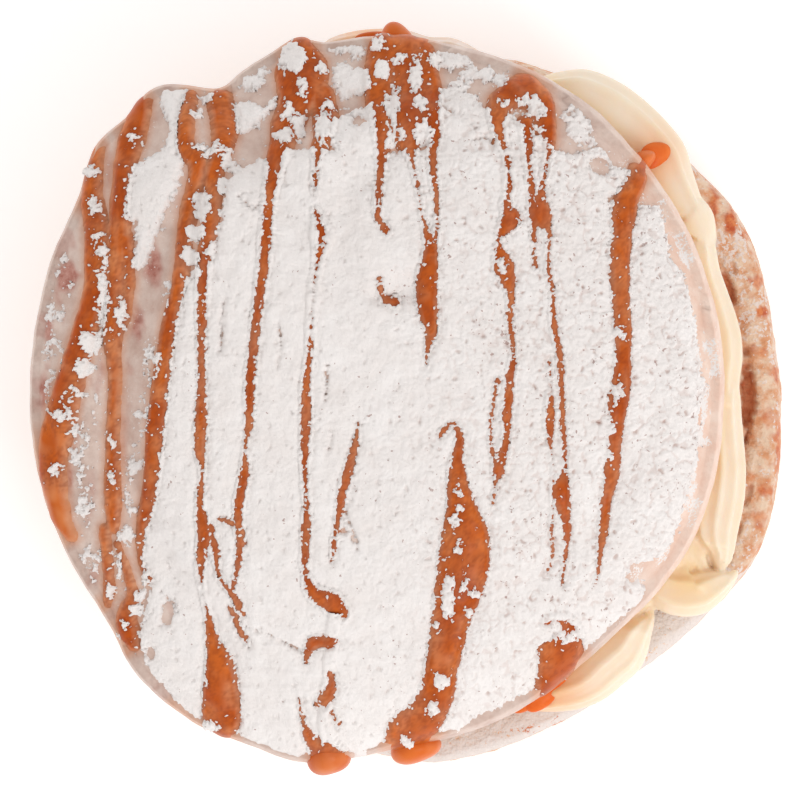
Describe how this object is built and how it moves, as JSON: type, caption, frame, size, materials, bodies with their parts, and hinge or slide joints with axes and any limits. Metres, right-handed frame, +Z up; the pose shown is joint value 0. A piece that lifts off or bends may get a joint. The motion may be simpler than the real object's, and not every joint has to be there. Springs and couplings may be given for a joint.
{
  "type": "cinnamon scroll",
  "caption": "Round cinnamon scroll, split and filled with piped custard, its domed lid glazed, sugared and striped with caramel.",
  "frame": {"origin": "centre of the lower half's flat underside, on the surface it rests on", "axes": "+Z up out of the lid's crown; -Y is the front, where the long caramel pool runs over the rim; the lid has slid towards -X, so the custard shows along +X"},
  "size_m": [0.128, 0.1267, 0.0588],
  "materials": {
    "baked_dough": "baked sweet dough, soft and slightly glossy crust",
    "custard_cream": "smooth piped custard cream",
    "sugared_dough": "glazed dough under clumped icing sugar, with glossy caramel stripes"
  },
  "bodies": {
    "root": {"lower_half": "baked_dough", "custard": "custard_cream", "lid": "sugared_dough"}
  },
  "joints": []
}
